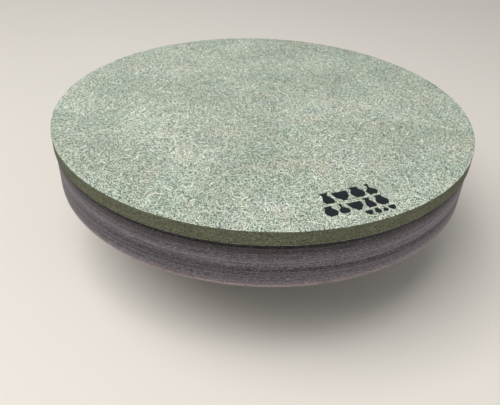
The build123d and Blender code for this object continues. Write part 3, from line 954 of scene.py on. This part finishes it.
edge_rows = 13
arris = 0.0005
rim = board_radius - 0.004
board_corners = [(0.0, board_surface, 0.0), (board_radius * 0.5, board_surface, 0.0)]
board_corners += [(rim, board_surface, 0.0), (board_radius, board_surface, arris)]
for step in range(1, edge_rows):
    level = board_surface + (board_low.z - board_surface) * step / edge_rows
    board_corners.append((board_radius, level, 0.0))
board_corners += [(board_radius, board_low.z, arris), (rim, board_low.z, 0.0)]
board_corners += [(board_radius * 0.5, board_low.z, 0.0), (0.0, board_low.z, 0.0)]

tree, given = new_shape_tree(
    "throwing bat",
    Outline="Object",
    Sides="Int",
    Saw_Wander="Float",
    Dent_Depth="Float",
    Face="Material",
    Edge="Material",
)
grid, radius, height, angle = turned_grid(tree, given["Outline"], given["Sides"])
near_edge = calc(tree, "GREATER_THAN", radius, board_radius - 0.001)
wander = calc(tree, "MULTIPLY", tool_marks(tree, radius, height, angle, 260, 9), given["Saw_Wander"])
knocks = spread(tree, tool_marks(tree, radius, height, angle, 500, 34), 0.66, 0.80)
dents = calc(tree, "MULTIPLY", knocks, given["Dent_Depth"])
cut = calc(tree, "MULTIPLY", calc(tree, "ADD", wander, dents), near_edge)
disc = round_the_axis(tree, grid, calc(tree, "SUBTRACT", radius, cut), height, angle)
sockets = copies(
    tree,
    spots_at(tree, (-pin_x, 0, board_low.z), (pin_x, 0, board_low.z)),
    cylinder(tree, socket_radius, 2 * socket_depth),
)
disc = combine(tree, "DIFFERENCE", disc, sockets)
disc = smooth_but_for(tree, disc, math.radians(40))
normal = add(tree, "GeometryNodeInputNormal").outputs[0]
upright = calc(tree, "ABSOLUTE", add(tree, "ShaderNodeSeparateXYZ", {0: normal}).outputs[2])
disc = painted(tree, disc, given["Face"])
disc = painted(tree, disc, given["Edge"], calc(tree, "LESS_THAN", upright, 0.35))
end_tree(tree, disc)

board_outline = outline_object("board outline", board_corners)
board = shape_from(
    tree,
    "bat_board",
    Outline=board_outline,
    Sides=720,
    Saw_Wander=0.00012,
    Dent_Depth=0.00016,
    Face=face_finish,
    Edge=edge_finish,
)
bpy.data.objects.remove(board_outline)
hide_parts("throwing_bat")
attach(board, "bat")


# ---------------------------------------------------------------------------------------------
# The coarse fibres. Slivers of pale wood that the dye didn't take, lying every way in the sanded
# face. Most are short and half buried, and a few are long, curved and nearly white.
# ---------------------------------------------------------------------------------------------
fibre_finish, tree, shader = new_finish("pale wood fibre", tint(222, 224, 206), 0.8)
tone = add(tree, "ShaderNodeAttribute", attribute_name="tone").outputs["Fac"]
speckle = noise(tree, place(tree), 1600, 2)
fibre_colour = mix(tree, tone, tint(200, 206, 186), tint(252, 252, 240))
fibre_colour = mix(tree, spread(tree, speckle, 0.5, 0.7, 0.0, 0.3), fibre_colour, tint(196, 200, 178))
tree.links.new(fibre_colour, shader.inputs["Base Color"])
shader.inputs["Specular IOR Level"].default_value = 0.35
relief(tree, shader, speckle, 0.00004)

fibre_length = 0.0042
fibre_width = 0.00062
fibre_thickness = 0.00008
tree, given = new_shape_tree(
    "coarse fibres",
    Disc_Radius="Float",
    Surface="Float",
    Per_Square_Metre="Float",
    Seed="Int",
    Finish="Material",
)
round_field = {"Vertices": 96, "Radius": given["Disc_Radius"]}
field = add(tree, "GeometryNodeMeshCircle", round_field, fill_type="NGON").outputs[0]
lift = add(tree, "ShaderNodeCombineXYZ", {2: given["Surface"]}).outputs[0]
field = add(tree, "GeometryNodeTransform", {"Geometry": field, "Translation": lift}).outputs[0]
scatter = {"Mesh": field, "Density": given["Per_Square_Metre"], "Seed": given["Seed"]}
points = add(tree, "GeometryNodeDistributePointsOnFaces", scatter).outputs["Points"]
along = add(tree, "GeometryNodeSplineParameter").outputs["Factor"]
from_middle = calc(tree, "ABSOLUTE", calc(tree, "SUBTRACT", calc(tree, "MULTIPLY", along, 2.0), 1.0))
taper = calc(tree, "SUBTRACT", 1.0, calc(tree, "MULTIPLY", calc(tree, "POWER", from_middle, 3.0), 0.8))
section = add(tree, "GeometryNodeCurvePrimitiveCircle", {"Resolution": 4, "Radius": fibre_width / 2})
kinds = add(tree, "GeometryNodeJoinGeometry")
for bend in (0.25, 0.7, 1.2, 1.8):
    bow = fibre_length / bend
    drawn = {"Resolution": 6, "Radius": bow, "Start Angle": -bend / 2, "Sweep Angle": bend}
    arc = add(tree, "GeometryNodeCurveArc", drawn, mode="RADIUS").outputs[0]
    swept = {"Curve": arc, "Profile Curve": section.outputs[0], "Scale": taper, "Fill Caps": True}
    strand = add(tree, "GeometryNodeCurveToMesh", swept).outputs[0]
    strand = moved(tree, strand, (-bow, 0, 0), scale=(1, 1, fibre_thickness / fibre_width))
    one = add(tree, "GeometryNodeGeometryToInstance", {0: strand}).outputs[0]
    tree.links.new(one, kinds.inputs[0])


def chance(tree, seed, low=0.0, high=1.0, kind="FLOAT"):
    """A random number for each point."""
    numbers = {"FLOAT": (2, 3, 1), "INT": (4, 5, 2)}
    first, second, out = numbers[kind]
    inputs = {first: low, second: high, "Seed": seed}
    return add(tree, "FunctionNodeRandomValue", inputs, data_type=kind).outputs[out]


which = chance(tree, 11, 0, 3, "INT")
heading = add(tree, "ShaderNodeCombineXYZ", {2: chance(tree, 12, 0.0, math.tau)}).outputs[0]
heading = add(tree, "FunctionNodeEulerToRotation", {0: heading}).outputs[0]
size = spread(tree, calc(tree, "POWER", chance(tree, 13), 2.2), 0.0, 1.0, 0.35, 1.5)
size = add(tree, "ShaderNodeCombineXYZ", {0: size, 1: size, 2: 1.0}).outputs[0]
scattered = {
    "Points": points,
    "Instance": kinds.outputs[0],
    "Pick Instance": True,
    "Instance Index": which,
    "Rotation": heading,
    "Scale": size,
}
fibres = add(tree, "GeometryNodeInstanceOnPoints", scattered).outputs[0]
kept = {"Geometry": fibres, "Name": "tone", "Value": calc(tree, "POWER", chance(tree, 14), 1.6)}
fibres = add(tree, "GeometryNodeStoreNamedAttribute", kept, domain="INSTANCE").outputs[0]
fibres = add(tree, "GeometryNodeRealizeInstances", {"Geometry": fibres}).outputs[0]
fibres = add(tree, "GeometryNodeSetShadeSmooth", {"Geometry": fibres}).outputs[0]
end_tree(tree, painted(tree, fibres, given["Finish"]))
fibres = shape_from(
    tree,
    "bat_coarse_fibres",
    Disc_Radius=board_radius - 0.0036,
    Surface=board_surface,
    Per_Square_Metre=38000.0,
    Seed=7,
    Finish=fibre_finish,
)
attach(fibres, "bat")


# ---------------------------------------------------------------------------------------------
# The maker's print. Two rows of plain pot outlines and three small ones, screen-printed in black
# ink near the bat's rim, so that a potter can tell which way the bat sits on its pins.
# ---------------------------------------------------------------------------------------------
ink, tree, shader = new_finish("black printing ink", tint(30, 34, 38), 0.6)
coverage = noise(tree, place(tree), 1300, 3, 0.6)
bare = spread(tree, coverage, 0.62, 0.74, 0.0, 0.6)
tree.links.new(mix(tree, bare, tint(26, 30, 35), tint(84, 92, 80)), shader.inputs["Base Color"])
tree.links.new(spread(tree, coverage, 0.3, 0.7, 0.45, 0.65), shader.inputs["Roughness"])
shader.inputs["Specular IOR Level"].default_value = 0.25
relief(tree, shader, coverage, 0.00003)

pot_outlines = {
    "jar": ((0.22, 0.0), (0.38, 0.20), (0.42, 0.48), (0.24, 0.80), (0.30, 1.0)),
    "bowl": ((0.18, 0.0), (0.18, 0.10), (0.38, 0.30), (0.46, 0.60), (0.48, 0.86)),
    "bottle": ((0.20, 0.0), (0.34, 0.18), (0.30, 0.42), (0.09, 0.64), (0.14, 1.0)),
    "pitcher": ((0.26, 0.0), (0.34, 0.26), (0.24, 0.56), (0.17, 0.78), (0.28, 1.0)),
}
print_gap = 0.0011
print_rows = (
    (0.0034, 0.0104, 0.0010, ("pitcher", "bowl", "jar", "bottle")),
    (-0.0078, 0.0092, -0.0010, ("jar", "bottle", "bowl", "pitcher", "jar")),
    (-0.0138, 0.0048, 0.0102, ("bowl", "jar", "bottle", "bowl")),
)
print_centre = Vector((0.0530, -0.1225, board_high.z))
print_turn = math.radians(24)
ink_thickness = 0.00004


def draw_pot(curve, outline, x, y, tall):
    """Adds one pot, standing at a point, to a flat curve."""
    side = [(x + half * tall, y + level * tall) for half, level in outline]
    other = [(2 * x - across, level) for across, level in reversed(side)]
    spline = curve.splines.new("BEZIER")
    spline.bezier_points.add(len(side) * 2 - 1)
    spline.use_cyclic_u = True
    for step, (bezier, corner) in enumerate(zip(spline.bezier_points, side + other)):
        bezier.co = (*corner, 0)
        at_end = step in (0, len(side) - 1, len(side), len(side) * 2 - 1)
        bezier.handle_left_type = bezier.handle_right_type = "VECTOR" if at_end else "AUTO"


drawing = bpy.data.curves.new("pots", "CURVE")
drawing.dimensions = "2D"
drawing.fill_mode = "BOTH"
drawing.extrude = ink_thickness / 2
drawing.resolution_u = 6
for base, tall, shift, names in print_rows:
    halves = [tall * max(half for half, _ in pot_outlines[name]) for name in names]
    edge = shift - sum(halves) - print_gap * (len(names) - 1) / 2
    for name, half in zip(names, halves):
        draw_pot(drawing, pot_outlines[name], edge + half, base, tall)
        edge += 2 * half + print_gap
holder = bpy.data.objects.new("pots", drawing)
bpy.context.collection.objects.link(holder)
evaluated = holder.evaluated_get(bpy.context.evaluated_depsgraph_get())
print_mesh = bpy.data.meshes.new_from_object(evaluated)
bpy.data.objects.remove(holder)
print_mesh.transform(
    Matrix.Translation(print_centre - Vector((0, 0, ink_thickness / 2)))
    @ Matrix.Rotation(print_turn, 4, "Z")
)
closing = bmesh.new()
closing.from_mesh(print_mesh)
bmesh.ops.remove_doubles(closing, verts=closing.verts, dist=0.000002)
bmesh.ops.recalc_face_normals(closing, faces=closing.faces)
closing.to_mesh(print_mesh)
closing.free()
print_mesh.materials.clear()
print_mesh.materials.append(ink)
printed = bpy.data.objects.new("bat_printed_pots", print_mesh)
bpy.context.collection.objects.link(printed)
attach(printed, "bat")
